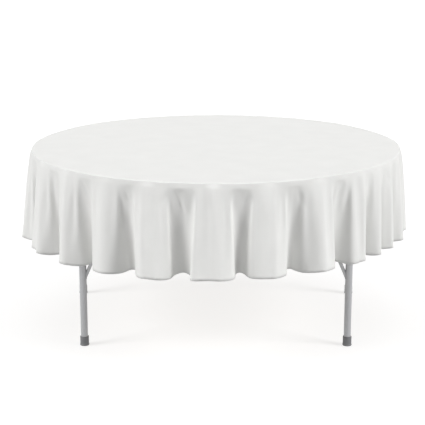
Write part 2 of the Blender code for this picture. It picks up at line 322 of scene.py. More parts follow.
@dataclass(frozen=True)
class PowderCoat(Finish):
    """Grey powder coat on steel: satin, with the fine ripple that baked powder has."""

    ripple_mm: float = 1.5
    ripple_depth: float = 0.05 * MM

    def detail(self, tree: bpy.types.NodeTree, shader: bpy.types.Node) -> None:
        """A fine orange-peel ripple, and scuffs that make it a little duller.

        Args:
            tree: The material's node tree.
            shader: Its surface.
        """
        place = place_on_piece(tree)
        peel = add_node(tree, "ShaderNodeTexNoise", Vector=place, Scale=1 / (self.ripple_mm * MM),
                        Detail=2.0)
        emboss(tree, shader, peel.outputs["Fac"], 0.12, self.ripple_depth)
        scuffs = add_node(tree, "ShaderNodeTexNoise", Vector=place, Scale=14.0, Detail=6.0,
                          Roughness=0.7)
        dull = add_node(tree, "ShaderNodeMapRange", Value=scuffs.outputs["Fac"], From_Min=0.35,
                        From_Max=0.7, To_Min=self.roughness - 0.06, To_Max=self.roughness + 0.1)
        tree.links.new(dull.outputs["Result"], shader.inputs["Roughness"])
        shader.inputs["Metallic"].default_value = 0.35


@dataclass(frozen=True)
class ZincPlate(Finish):
    """Zinc plating on pressed steel: pale grey metal with cloudy crystals."""

    crystal_mm: float = 4.0
    low_tone: str = "#9EA1A3"

    def detail(self, tree: bpy.types.NodeTree, shader: bpy.types.Node) -> None:
        """Crystals change the tone a little and the gloss more.

        Args:
            tree: The material's node tree.
            shader: Its surface.
        """
        crystals = add_node(tree, "ShaderNodeTexVoronoi", {"feature": "F1"},
                            Vector=place_on_piece(tree), Scale=1 / (self.crystal_mm * MM))
        two_tones(tree, shader, crystals.outputs["Color"], (self.low_tone, self.colour))
        gloss = add_node(tree, "ShaderNodeMapRange", Value=crystals.outputs["Distance"],
                         To_Min=self.roughness, To_Max=self.roughness + 0.15)
        tree.links.new(gloss.outputs["Result"], shader.inputs["Roughness"])
        shader.inputs["Metallic"].default_value = 1.0


@dataclass(frozen=True)
class MouldedPolypropylene(Finish):
    """Grey moulded polypropylene: a fine spark-eroded grain, rubbed pale at the foot."""

    grain_mm: float = 0.6
    grain_depth: float = 0.05 * MM
    scuff_height: float = 8 * MM
    scuffed_tone: str = "#8B8B8C"

    def detail(self, tree: bpy.types.NodeTree, shader: bpy.types.Node) -> None:
        """Grain relief all over, and a paler, drier tone near the floor.

        Args:
            tree: The material's node tree.
            shader: Its surface.
        """
        place = place_on_piece(tree)
        grain = add_node(tree, "ShaderNodeTexNoise", Vector=place,
                         Scale=1 / (self.grain_mm * MM), Detail=2.0)
        emboss(tree, shader, grain.outputs["Fac"], 0.25, self.grain_depth)
        height = add_node(tree, "ShaderNodeSeparateXYZ", Vector=place).outputs["Z"]
        wear = add_node(tree, "ShaderNodeMapRange", Value=height, From_Min=0.0,
                        From_Max=self.scuff_height, To_Min=0.0, To_Max=1.0)
        two_tones(tree, shader, wear.outputs["Result"], (self.scuffed_tone, self.colour))


@dataclass(frozen=True)
class LacqueredPlywood(Finish):
    """Rotary-cut birch plywood under clear lacquer: long wavy grain, warm and satin."""

    grain_mm: float = 9.0
    grain_depth: float = 0.1 * MM
    dark_tone: str = "#C9AA80"

    def detail(self, tree: bpy.types.NodeTree, shader: bpy.types.Node) -> None:
        """Grain bands along X that noise bends, from pale to darker birch.

        Args:
            tree: The material's node tree.
            shader: Its surface.
        """
        stretch = add_node(tree, "ShaderNodeMapping", Vector=place_on_piece(tree),
                           Scale=(0.12, 1.0, 1.0))
        grain = add_node(
            tree, "ShaderNodeTexWave", {"wave_type": "BANDS", "bands_direction": "Y"},
            Vector=stretch.outputs["Vector"], Scale=band_scale(self.grain_mm),
            Distortion=14.0, Detail=4.0, Detail_Scale=0.6)
        two_tones(tree, shader, grain.outputs["Fac"], (self.dark_tone, self.colour))
        emboss(tree, shader, grain.outputs["Fac"], 0.15, self.grain_depth)


@dataclass(frozen=True)
class ExtrudedVinyl(Finish):
    """Extruded brown vinyl edging: smooth, with faint die lines round the table."""

    line_mm: float = 1.0
    line_depth: float = 0.03 * MM

    def detail(self, tree: bpy.types.NodeTree, shader: bpy.types.Node) -> None:
        """Die lines are level bands a millimetre apart.

        Args:
            tree: The material's node tree.
            shader: Its surface.
        """
        lines = add_node(tree, "ShaderNodeTexWave",
                         {"wave_type": "BANDS", "bands_direction": "Z"},
                         Vector=place_on_piece(tree), Scale=band_scale(self.line_mm))
        emboss(tree, shader, lines.outputs["Fac"], 0.1, self.line_depth)


POLYESTER = WovenPolyester("woven_white_polyester", Slot.CLOTH, "#E9E9E7", 0.86)
THREAD = SewingThread("white_sewing_thread", Slot.CLOTH, "#EDEDEA", 0.6)
STEEL = PowderCoat("grey_powder_coated_steel", Slot.STEEL, "#B2B3B5", 0.40)
ZINC = ZincPlate("zinc_plated_steel", Slot.ZINC, "#C3C6C8", 0.3)
PLASTIC = MouldedPolypropylene("grey_moulded_polypropylene", Slot.CAP, "#77787A", 0.55)
PLYWOOD = LacqueredPlywood("lacquered_birch_plywood", Slot.BOARD, "#E2CBA4", 0.42)
VINYL = ExtrudedVinyl("extruded_vinyl_edging", Slot.EDGE, "#4A3A30", 0.5)


# ---------------------------------------------------------------- surfaces


def make_piece(name: str, points: np.ndarray, quads: np.ndarray,
               triangles: np.ndarray = np.zeros((0, 3), int)) -> bpy.types.Object:
    """Make a smooth-shaded mesh object at the origin.

    Args:
        name: The piece's name.
        points: Corner positions, one row each.
        quads: Four corner numbers for each four-sided face.
        triangles: Three corner numbers for each three-sided face.

    Returns:
        The object, linked to the scene.
    """
    corners = np.concatenate([quads.ravel(), triangles.ravel()]).astype(np.int32)
    sizes = np.concatenate([np.full(len(quads), 4), np.full(len(triangles), 3)])
    starts = np.concatenate([[0], np.cumsum(sizes)[:-1]]).astype(np.int32)
    mesh = bpy.data.meshes.new(name)
    mesh.vertices.add(len(points))
    mesh.vertices.foreach_set("co", np.ascontiguousarray(points, np.float32).ravel())
    mesh.loops.add(len(corners))
    mesh.loops.foreach_set("vertex_index", corners)
    mesh.polygons.add(len(sizes))
    mesh.polygons.foreach_set("loop_start", starts)
    mesh.update(calc_edges=True)
    mesh.validate()
    mesh.shade_smooth()
    mesh.set_sharp_from_angle(angle=SHARP_ANGLE)
    piece = bpy.data.objects.new(name, mesh)
    bpy.context.scene.collection.objects.link(piece)
    return piece


def grid_quads(rows: int, columns: int, first: int = 0) -> np.ndarray:
    """Corner numbers of a grid whose columns close into a ring.

    Args:
        rows: How many rings of points.
        columns: How many points in a ring.
        first: The number of the first point.

    Returns:
        One row of four numbers for each face, in the order upper, lower, lower next,
        upper next, which faces outward when rings run down and columns run
        anticlockwise seen from above.
    """
    here = np.arange(columns)
    after = (here + 1) % columns
    tops = first + np.arange(rows - 1)[:, None] * columns
    faces = np.stack([tops + here, tops + columns + here, tops + columns + after, tops + after],
                     axis=-1)
    return faces.reshape(-1, 4)


def circle(start: np.ndarray, end: np.ndarray, sides: int) -> Tuple[np.ndarray, np.ndarray]:
    """The axis from start to end, and unit vectors anticlockwise round it.

    Args:
        start: A point on the axis.
        end: A later point on it.
        sides: How many vectors.

    Returns:
        The axis as a unit vector, and cos a * u + sin a * v for u and v square to it.
    """
    axis = (end - start) / np.linalg.norm(end - start)
    helper = np.array([0.0, 1.0, 0.0]) if abs(axis[1]) < 0.9 else np.array([1.0, 0.0, 0.0])
    across = np.cross(helper, axis)
    across /= np.linalg.norm(across)
    angles = np.arange(sides) / sides * math.tau
    ring = (np.cos(angles)[:, None] * across
            + np.sin(angles)[:, None] * np.cross(axis, across))
    return axis, ring


def closed_lofts(name: str, lofts: Sequence[np.ndarray]) -> bpy.types.Object:
    """One piece of several ring-shaped surfaces, each closed along its rows too.

    Args:
        name: The piece's name.
        lofts: For each surface, its rows, columns and coordinates.

    Returns:
        The piece.
    """
    quads: List[np.ndarray] = []
    first = 0
    for rings in lofts:
        rows, columns = rings.shape[:2]
        here = np.arange(columns)
        after = (here + 1) % columns
        last = (rows - 1) * columns
        seam = np.stack([last + here, here, after, last + after], axis=-1) + first
        quads += [grid_quads(rows, columns, first), seam]
        first += rows * columns
    points = np.concatenate([rings.reshape(-1, 3) for rings in lofts])
    return make_piece(name, points, np.concatenate(quads))


def turned_piece(name: str, profile: Sequence[Tuple[float, float]], start: np.ndarray,
                 end: np.ndarray, sides: int = 48) -> bpy.types.Object:
    """Turn a profile round the line from start to end.

    A point at radius r and distance h along the line lies at
    start + h * axis + r * (cos a * u + sin a * v). A profile with no point at radius 0
    closes as a ring; otherwise its first and last points are poles.

    Args:
        name: The piece's name.
        profile: (radius, distance) points, which run down the outer side.
        start: Where distance 0 is.
        end: A later point on the axis.
        sides: Points round the circle.

    Returns:
        The piece.
    """
    axis, ring = circle(start, end, sides)
    radii = np.array([point[0] for point in profile])[:, None, None]
    distances = np.array([point[1] for point in profile])[:, None, None]
    rings = start + distances * axis + radii * ring
    if radii.min() > 0:
        return closed_lofts(name, [rings])
    body = rings[1:-1].reshape(-1, 3)
    here = np.arange(sides)
    after = (here + 1) % sides
    last = len(body) - sides
    top = np.stack([np.full(sides, len(body)), here, after], axis=-1)
    bottom = np.stack([np.full(sides, len(body) + 1), last + after, last + here], axis=-1)
    points = np.concatenate([body, rings[:1, 0], rings[-1:, 0]])
    return make_piece(name, points, grid_quads(len(profile) - 2, sides),
                      np.concatenate([top, bottom]))


class Trim(NamedTuple):
    """A round tube that another one ends against: a point on its axis, direction, radius."""

    centre: np.ndarray
    direction: np.ndarray
    radius: float

    def meet(self, start: np.ndarray, along: np.ndarray, at_end: bool) -> np.ndarray:
        """How far along lines from start the tube's surface is.

        With q for the part of a vector square to the tube, a line's point is on the
        surface where |q(start - centre) + t * q(along)| is the radius, and t is a root of
        that quadratic. A line that passes beside the tube stops where it is nearest.

        Args:
            start: The lines' first points.
            along: Their common direction.
            at_end: Whether the tube is at the lines' far end.

        Returns:
            The distance t of each line.
        """
        direction = self.direction / np.linalg.norm(self.direction)
        offset = start - self.centre
        offset = offset - (offset @ direction)[:, None] * direction
        slant = along - (along @ direction) * direction
        square = slant @ slant
        half = offset @ slant
        root = np.sqrt(np.maximum(half ** 2 - square * ((offset ** 2).sum(1) - self.radius ** 2), 0))
        return (-half + (-root if at_end else root)) / square


@dataclass
class Tube:
    """A straight round tube, each end cut square or to fit against another tube."""

    start: np.ndarray
    end: np.ndarray
    radius: float
    wall: float
    start_trim: Optional[Trim] = None
    end_trim: Optional[Trim] = None
    sides: int = 48

    def edge(self, radius: float, at_end: bool) -> np.ndarray:
        """The ring of points where a wall of the tube ends.

        Args:
            radius: The wall's radius.
            at_end: Whether it is the far end.

        Returns:
            The points, anticlockwise round the axis.
        """
        axis, ring = circle(self.start, self.end, self.sides)
        lines = self.start + radius * ring
        trim = self.end_trim if at_end else self.start_trim
        if trim:
            return lines + trim.meet(lines, axis, at_end)[:, None] * axis
        return lines + (np.linalg.norm(self.end - self.start) if at_end else 0.0) * axis

    def rings(self) -> np.ndarray:
        """Take the tube's rings down the outside and up the inside.

        Returns:
            Four rings of points.
        """
        inner = self.radius - self.wall
        return np.array([self.edge(self.radius, True), self.edge(self.radius, False),
                         self.edge(inner, False), self.edge(inner, True)])

    def weld(self, at_end: bool, bead: float = 2.2 * MM) -> np.ndarray:
        """The weld bead round an end.

        A circle of the bead's radius is carried round the edge of the outer wall, with
        ripples one bead and a fifth apart, 8% high, as a welder's steps leave them.

        Args:
            at_end: Whether it is the far end.
            bead: The bead's radius.

        Returns:
            The bead's rings.
        """
        axis, ring = circle(self.start, self.end, self.sides)
        edge = self.edge(self.radius, at_end)
        turns = np.linspace(math.pi, -math.pi, 8, endpoint=False)[:, None, None]
        steps = round(math.tau * self.radius / bead / 1.2)
        ripple = 1 + 0.08 * np.sin(np.arange(self.sides) / self.sides * math.tau * steps)
        size = bead * ripple[:, None]
        return edge + size * (np.cos(turns) * ring + np.sin(turns) * axis)


def box_corners(node: str) -> Tuple[np.ndarray, np.ndarray]:
    """The low and high corners of a plain part's box."""
    low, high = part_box(node)
    return np.array(low), np.array(high)


def report(piece: bpy.types.Object) -> None:
    """Log a finished piece and its size."""
    LOG.info("%s: %d faces", piece.name, len(piece.data.polygons))


def put_in_place(piece: bpy.types.Object, finish: Finish, node: str, body: str) -> None:
    """Dress a piece, and let it stand for its plain node and ride on its body.

    Args:
        piece: The piece.
        finish: Its finish.
        node: The plain node.
        body: The body.
    """
    finish.dress(piece)
    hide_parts(node)
    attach(piece, body)
    report(piece)


def surface_normals(rings: np.ndarray) -> np.ndarray:
    """Outward unit normals: the rows' direction crossed with the columns'.

    Args:
        rings: Rings of points that run down, each anticlockwise.

    Returns:
        One normal for each point.
    """
    along = np.roll(rings, -1, axis=1) - np.roll(rings, 1, axis=1)
    down = np.gradient(rings, axis=0)
    normals = np.cross(down, along)
    return normals / np.linalg.norm(normals, axis=-1, keepdims=True)


def ring_points(radius: np.ndarray, direction: np.ndarray, height: np.ndarray) -> np.ndarray:
    """Points at a distance from the middle, a direction from the front and a height."""
    return np.stack([radius * np.sin(direction), -radius * np.cos(direction), height], axis=-1)


# ---------------------------------------------------------------- the tablecloth


class Crease(NamedTuple):
    """A short crease: direction and slant in degrees, length, and depth."""

    direction: float
    slant: float
    length: float
    dent: float


@dataclass
class Tablecloth:
    """The round cloth, draped over the table top.

    Its flat pattern is a disc. The rim of the table divides it into a level top and a
    skirt. Folds are set by direction, in degrees from the front towards the right; the
    cloth between two ridges decides how deep the fold is.
    """

    table_radius: float
    table_height: float
    edge_thickness: float
    diameter: float = 2.24
    offset_x: float = -0.010
    wall: float = 0.5 * MM
    bend_radius: float = 5 * MM
    bend_inset: float = 3.6 * MM
    lift: float = 0.6 * MM
    mean_flare: float = 0.014
    columns: int = 416
    skirt_rows: int = 32
    finished_columns: int = 1040
    pucker_height: float = 0.5 * MM
    hem_height: float = 10 * MM
    hem_thickness: float = 1.3 * MM
    hem_inset: float = 0.25 * MM
    hem_drop: float = 0.7 * MM
    hem_sides: int = 12
    stitch_line: float = 8 * MM
    stitch_pitch: float = 3.75 * MM
    stitch_share: float = 0.72
    stitch_width: float = 0.7 * MM
    stitch_rise: float = 0.5 * MM
    frames: int = 30
    top_rings: Tuple[float, ...] = (0.15, 0.35, 0.55, 0.68, 0.74)
    bend_rings: int = 5
    recess_run: float = 0.03
    least_fall: float = 0.35
    fold_samples: int = 401
    tallest_fold: float = 0.6
    quality: int = 8
    cloth_gap: float = 1 * MM
    mass: float = 0.15
    stretch_stiffness: float = 60.0
    shear_stiffness: float = 20.0
    bending_stiffness: float = 0.6
    dip_share: float = 0.22
    valley_width: float = 0.5
    deepest: float = 0.065
    inward_slope: float = 0.26
    ease_width: float = 4 * MM
    rim_waves: float = 90.0
    smooth_share: float = 0.2
    crease_start: float = 25 * MM
    crease_width: float = 9 * MM
    creases: Tuple[Crease, ...] = (
        Crease(-11.5, 2.8, 0.095, 4.0 * MM), Crease(-12.5, -3.4, 0.080, 3.0 * MM),
        Crease(9.0, -1.4, 0.085, 3.5 * MM), Crease(23.0, 2.6, 0.090, 3.5 * MM),
        Crease(-27.0, 3.2, 0.090, 3.5 * MM), Crease(-41.5, 2.6, 0.080, 3.0 * MM),
        Crease(39.0, -2.6, 0.075, 2.5 * MM), Crease(60.0, 2.2, 0.070, 2.5 * MM),
        Crease(-55.0, -2.4, 0.080, 2.5 * MM), Crease(-74.0, 2.8, 0.075, 2.5 * MM),
        Crease(90.0, -2.6, 0.080, 3.0 * MM), Crease(115.0, 3.0, 0.090, 3.5 * MM),
        Crease(142.0, -2.4, 0.080, 3.0 * MM), Crease(172.0, 3.2, 0.090, 3.5 * MM),
        Crease(188.0, -3.0, 0.075, 3.0 * MM), Crease(219.0, 2.4, 0.085, 3.0 * MM),
        Crease(245.0, -2.8, 0.080, 3.0 * MM))
    ridges: Tuple[float, ...] = (
        -83, -62, -47, -32, -19, -0.5, 15, 29.5, 46, 54.5, 62.5, 71.5, 84,
        97, 109, 121, 135, 149, 164, 180, 196, 211, 226, 239, 250, 263)
    directions: np.ndarray = field(init=False)
    pinned_rows: int = field(init=False)

    def __post_init__(self) -> None:
        """Set the directions of the columns, from the first ridge round the front."""
        turns = np.arange(self.columns) / self.columns * math.tau
        self.directions = math.radians(self.ridges[0]) + turns
        self.pinned_rows = len(self.top_rings) + 3

    def wave(self, part: np.ndarray) -> np.ndarray:
        """A fold's outline: 1 on the ridges at parts 0 and 1, and lowest halfway.

        It mixes a cosine with a narrow dip exp(-(cos(pi * part) / width) ** 2), so the
        ridges are broad and the valleys narrow.

        Args:
            part: Where across the fold, 0 to 1.

        Returns:
            The outline's height there.
        """
        dip = np.exp(-(np.cos(math.pi * part) / self.valley_width) ** 2)
        return (1 - self.dip_share) * np.cos(math.tau * part) + self.dip_share * (1 - 2 * dip)

    def spread(self, spare: float, flat_part: np.ndarray) -> Tuple[np.ndarray, float]:
        """Lay cloth along one fold at even distances.

        A fold of height k per unit of width is as long as the sum of
        sqrt(1 + (k * slope) ** 2) over it. The height is the one whose length is
        1 + spare, and each point lies where the length so far is its own share.

        Args:
            spare: How much longer the cloth is than the fold is wide, as a share.
            flat_part: Where each column lies in its fold on the flat cloth, 0 to 1.

        Returns:
            Where each column lies along the fold, and the height.
        """
        parts = np.linspace(0, 1, self.fold_samples)
        slope = np.gradient(self.wave(parts), parts)
        heights = np.linspace(0, self.tallest_fold, 241)
        lengths = np.sqrt(1 + (heights[:, None] * slope) ** 2).mean(axis=1)
        height = float(np.interp(1 + spare, lengths, heights))
        travelled = np.cumsum(np.sqrt(1 + (height * slope) ** 2))
        travelled = (travelled - travelled[0]) / (travelled[-1] - travelled[0])
        return np.interp(flat_part, travelled, parts), height

    def start_shape(self) -> Tuple[np.ndarray, np.ndarray]:
        """The cloth before it settles, and its flat pattern.

        Each skirt row at distance d down the cloth has (rim + d) / mean radius times as
        much cloth as its mean circle needs, and the rest goes into its folds. A fold's
        height grows with its width. Each row hangs as far below the last as its own
        length allows after its step outward.

        Returns:
            Two arrays of rows, columns and coordinates: draped and flat.
        """
        sideways, forward = np.sin(self.directions), -np.cos(self.directions)
        top = self.table_height + self.lift
        level = np.zeros(self.columns)
        draped: List[np.ndarray] = []
        flat: List[np.ndarray] = []
        for radius in self.top_rings:
            draped.append(ring_points(radius + level, self.directions, top + level))
            flat.append(radius + level)
        bend_start = self.table_radius - self.bend_inset
        for turn in np.linspace(0, math.pi / 2, self.bend_rings):
            radius = bend_start + self.bend_radius * math.sin(turn)
            height = top - self.bend_radius * (1 - math.cos(turn))
            draped.append(ring_points(radius + level, self.directions, height + level))
            flat.append(bend_start + self.bend_radius * turn + level)
        rim_flat = flat[-1]
        rim_radius = bend_start + self.bend_radius
        ridges = np.radians(self.ridges)
        widths = np.diff(np.append(ridges, ridges[0] + math.tau))
        at_ridge = 0.5 * (widths + np.roll(widths, 1))
        fold = np.searchsorted(ridges, self.directions, side="right") - 1
        flat_part = (self.directions - ridges[fold]) / widths[fold]
        hanging = self.diameter / 2 + self.offset_x * sideways - rim_flat
        step = hanging / self.skirt_rows
        for row in range(1, self.skirt_rows + 1):
            share = row / self.skirt_rows
            mean_radius = rim_radius + self.mean_flare * share
            spare = float(np.mean(rim_flat + hanging * share)) / mean_radius - 1
            part, height = self.spread(spare, flat_part)
            width = (at_ridge[fold] * np.clip(1 - 2 * part, 0, 1)
                     + widths[fold] * (1 - np.abs(2 * part - 1))
                     + np.roll(at_ridge, -1)[fold] * np.clip(2 * part - 1, 0, 1))
            middle = self.wave(np.linspace(0, 1, self.fold_samples)).mean()
            wave = height * width * mean_radius * (self.wave(part) - middle)
            past_edge = np.clip((hanging * share - self.edge_thickness) / self.recess_run,
                                0, 1)
            radius = np.maximum(mean_radius + wave, rim_radius - self.deepest * past_edge)
            direction = ridges[fold] + part * widths[fold]
            last = draped[-1]
            points = ring_points(radius, direction, level)
            across = np.hypot(points[:, 0] - last[:, 0], points[:, 1] - last[:, 1])
            fall = np.sqrt(np.maximum(step ** 2 - across ** 2, (self.least_fall * step) ** 2))
            points[:, 2] = last[:, 2] - fall
            draped.append(points)
            flat.append(rim_flat + hanging * share)
        pattern = np.array([ring_points(radius, self.directions, level) for radius in flat])
        return np.array(draped), pattern

    def simulate(self, shape: np.ndarray, pattern: np.ndarray) -> np.ndarray:
        """Let the cloth settle over the table top, with the flat pattern as its rest shape.

        Args:
            shape: The start shape.
            pattern: The flat pattern.

        Returns:
            The settled shape, in the same rows and columns.
        """
        rows = len(shape)
        top = np.array([[0.0, 0.0, shape[0, 0, 2]]])
        piece = self.fan_and_rings("cloth_to_settle", np.concatenate([top, shape.reshape(-1, 3)]),
                                   rows, self.columns)
        piece.shape_key_add(name="draped")
        flat_key = piece.shape_key_add(name="flat")
        flat_key.value = 0.0
        flat = np.concatenate([np.zeros((1, 3)), pattern.reshape(-1, 3)])
        flat_key.data.foreach_set("co", flat.ravel())
        pins = piece.vertex_groups.new(name="on_the_top")
        pins.add(list(range(1 + self.pinned_rows * self.columns)), 1.0, "REPLACE")
        cloth = piece.modifiers.new("cloth", "CLOTH")
        settings = cloth.settings
        settings.rest_shape_key = flat_key
        settings.vertex_group_mass = pins.name
        settings.quality = self.quality
        settings.mass = self.mass
        settings.tension_stiffness = self.stretch_stiffness
        settings.compression_stiffness = self.stretch_stiffness
        settings.shear_stiffness = self.shear_stiffness
        settings.bending_stiffness = self.bending_stiffness
        cloth.collision_settings.distance_min = self.cloth_gap
        cloth.collision_settings.collision_quality = 3
        cloth.collision_settings.use_self_collision = False
        cloth.point_cache.frame_start = 1
        cloth.point_cache.frame_end = self.frames
        table = self.stand_in_table()
        scene = bpy.context.scene
        for frame_number in range(1, self.frames + 1):
            scene.frame_set(frame_number)
        settled = piece.evaluated_get(bpy.context.evaluated_depsgraph_get()).to_mesh()
        points = np.empty(len(settled.vertices) * 3, np.float32)
        settled.vertices.foreach_get("co", points)
        bpy.data.objects.remove(piece)
        bpy.data.objects.remove(table)
        scene.frame_set(1)
        return points.reshape(-1, 3)[1:].reshape(shape.shape).astype(float)

    def stand_in_table(self) -> bpy.types.Object:
        """Make a plain disc for the cloth to rest against while it settles.

        Returns:
            The disc.
        """
        middle = self.table_height - self.edge_thickness / 2
        bpy.ops.mesh.primitive_cylinder_add(vertices=self.columns // 2, radius=self.table_radius,
                                            depth=self.edge_thickness, location=(0, 0, middle))
        disc = bpy.context.object
        disc.modifiers.new("solid", "COLLISION")
        disc.collision.thickness_outer = 0.5 * MM
        disc.collision.thickness_inner = 5 * MM
        return disc

    def fan_and_rings(self, name: str, points: np.ndarray, rows: int,
                      columns: int) -> bpy.types.Object:
        """Join a middle point to the first ring by a fan, and each ring to the next.

        Args:
            name: The piece's name.
            points: The middle point, then the rings' points.
            rows: How many rings.
            columns: How many points in a ring.

        Returns:
            The piece.
        """
        here = np.arange(columns)
        fan = np.stack([np.zeros(columns, int), 1 + here, 1 + (here + 1) % columns], axis=1)
        return make_piece(name, points, grid_quads(rows, columns, 1), fan)

    def ease(self, rings: np.ndarray) -> np.ndarray:
        """Let the folds open gradually from the rim, as cloth with some body does.

        Under the table's edge a fold's bottom stays outside a cone: at depth d below the
        edge the least radius is the rim's less inward_slope * d, and the radius r becomes
        least + w * log(1 + exp((r - least) / w)), which joins the two smoothly over a
        width w, which is less beside the edge itself. Waves finer than the folds fade near
        the rim: wave m of a ring is multiplied by exp(-(m / cut) ** 2), and cut grows with
        the share of the skirt's length that lies above the ring.

        Args:
            rings: The settled rows.

        Returns:
            The eased rows. Those on the top and round the bend are unchanged.
        """
        eased = rings.copy()
        skirt = eased[-self.skirt_rows:]
        share = np.arange(1, self.skirt_rows + 1)[:, None, None] / self.skirt_rows
        depth = self.table_height - self.edge_thickness - skirt[:, :, 2]
        least = (self.table_radius - self.bend_inset + self.bend_radius
                 - self.inward_slope * np.maximum(depth, 0))
        radius = np.hypot(skirt[:, :, 0], skirt[:, :, 1])
        width = self.ease_width * np.clip(depth / self.edge_thickness, 0.1, 1)
        eased_radius = least + width * np.logaddexp(0, (radius - least) / width)
        skirt[:, :, :2] *= (eased_radius / radius)[:, :, None]
        spectrum = np.fft.rfft(skirt, axis=1)
        waves = np.arange(spectrum.shape[1])[None, :, None]
        cut = self.rim_waves * (1 + (share / self.smooth_share) ** 2)
        eased[-self.skirt_rows:] = np.fft.irfft(spectrum * np.exp(-(waves / cut) ** 2),
                                                n=self.columns, axis=1)
        return eased

    def crease(self, rings: np.ndarray) -> np.ndarray:
        """Press the short slanting creases in under the rim.

        A crease runs down from its start, and its direction changes evenly by its slant.
        The cloth moves inward by dent * exp(-(a / width) ** 2) * sin(pi * t), for the
        distance a across the crease and the share t of its length gone.

        Args:
            rings: The cloth's rows.

        Returns:
            The creased rows.
        """
        creased = rings.copy()
        skirt = creased[-self.skirt_rows:]
        radius = np.hypot(skirt[:, :, 0], skirt[:, :, 1])
        direction = np.arctan2(skirt[:, :, 0], -skirt[:, :, 1])
        depth = self.table_height - skirt[:, :, 2]
        push = np.zeros(radius.shape)
        for mark in self.creases:
            gone = np.clip((depth - self.crease_start) / mark.length, 0, 1)
            across = direction - np.radians(mark.direction + mark.slant * gone)
            across = radius * (np.mod(across + math.pi, math.tau) - math.pi)
            push += mark.dent * np.exp(-(across / self.crease_width) ** 2) * np.sin(math.pi * gone)
        skirt[:, :, :2] *= (1 - push / radius)[:, :, None]
        return creased

    def refine(self, rings: np.ndarray) -> np.ndarray:
        """Put more columns in each ring, on the smooth closed curve through its points.

        Each ring is a sum of whole waves round the table, so its spectrum padded with
        zeros gives the same curve at more points.

        Args:
            rings: Rows, columns and coordinates.

        Returns:
            The same rows with the finished number of columns.
        """
        spectrum = np.fft.rfft(rings, axis=1)
        scale = self.finished_columns / rings.shape[1]
        return np.fft.irfft(spectrum, n=self.finished_columns, axis=1) * scale

    def pucker(self, rings: np.ndarray) -> np.ndarray:
        """Draw the edge up in small puckers along the hem's stitches.

        The cloth moves along its normal by 0.5 mm * (sin 251 a + sin 333 a) / 2, for the
        direction a, times a slow wave 1 + sin(7 a + 1) * sin(11 a), and fades out over
        the last three rows.

        Args:
            rings: The cloth's rows.

        Returns:
            The puckered rows.
        """
        turns = np.arange(rings.shape[1]) / rings.shape[1] * math.tau
        fine = 0.5 * (np.sin(251 * turns) + np.sin(333 * turns))
        slow = 1 + np.sin(7 * turns + 1) * np.sin(11 * turns)
        puckered = rings.copy()
        normals = surface_normals(rings)
        for row, share in ((-1, 1.0), (-2, 0.8), (-3, 0.25)):
            puckered[row] += self.pucker_height * share * (fine * slow)[:, None] * normals[row]
        return puckered

    def build(self) -> bpy.types.Object:
        """Make the finished cloth with its hem and stitches.

        Returns:
            The cloth.
        """
        shape, pattern = self.start_shape()
        settled = self.simulate(shape, pattern)
        fine = self.pucker(self.crease(self.refine(self.ease(settled))))
        flat = self.refine(pattern)
        middle = np.array([[0.0, 0.0, fine[0, 0, 2]]])
        points = np.concatenate([middle, fine.reshape(-1, 3)])
        cloth = self.fan_and_rings("tablecloth_fabric", points, len(fine), self.finished_columns)
        self.add_flat_map(cloth, np.concatenate([np.zeros((1, 3)), flat.reshape(-1, 3)]))
        thickness = cloth.modifiers.new("thickness", "SOLIDIFY")
        thickness.thickness = self.wall
        thickness.offset = 1.0
        POLYESTER.dress(cloth)
        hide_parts("tablecloth")
        hem = self.hem(fine, flat)
        stitches = self.stitches(fine)
        for piece in (cloth, hem, stitches):
            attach(piece, Body.CLOTH.value)
            report(piece)
        return cloth

    def hem(self, rings: np.ndarray, flat: np.ndarray) -> bpy.types.Object:
        """The turned-up hem on the inside of the edge.

        Its cross-section is a flat oval: at angle b it lies half the hem's height times
        (1 - cos b) above the edge, and half its thickness times sin b off the cloth's
        middle, moved inward so that only the rounded bottom shows from outside.

        Args:
            rings: The finished cloth's rows.
            flat: The same rows on the flat pattern.

        Returns:
            The hem.
        """
        edge, above = rings[-1], rings[-2]
        upward = above - edge
        row_height = np.linalg.norm(upward, axis=1, keepdims=True)
        upward = upward / row_height
        normals = surface_normals(rings)[-1]
        turns = np.linspace(0, math.tau, self.hem_sides, endpoint=False)
        climbs = self.hem_height / 2 * (1 - np.cos(turns)) - self.hem_drop
        depths = self.hem_thickness / 2 * np.sin(turns) - self.hem_inset
        band = (edge + climbs[:, None, None] * upward + depths[:, None, None] * normals)
        piece = closed_lofts("tablecloth_hem", [band])
        towards_middle = flat[-2] - flat[-1]
        towards_middle = towards_middle / np.linalg.norm(towards_middle, axis=1, keepdims=True)
        self.add_flat_map(piece, (flat[-1] + climbs[:, None, None] * towards_middle).reshape(-1, 3))
        POLYESTER.dress(piece)
        return piece

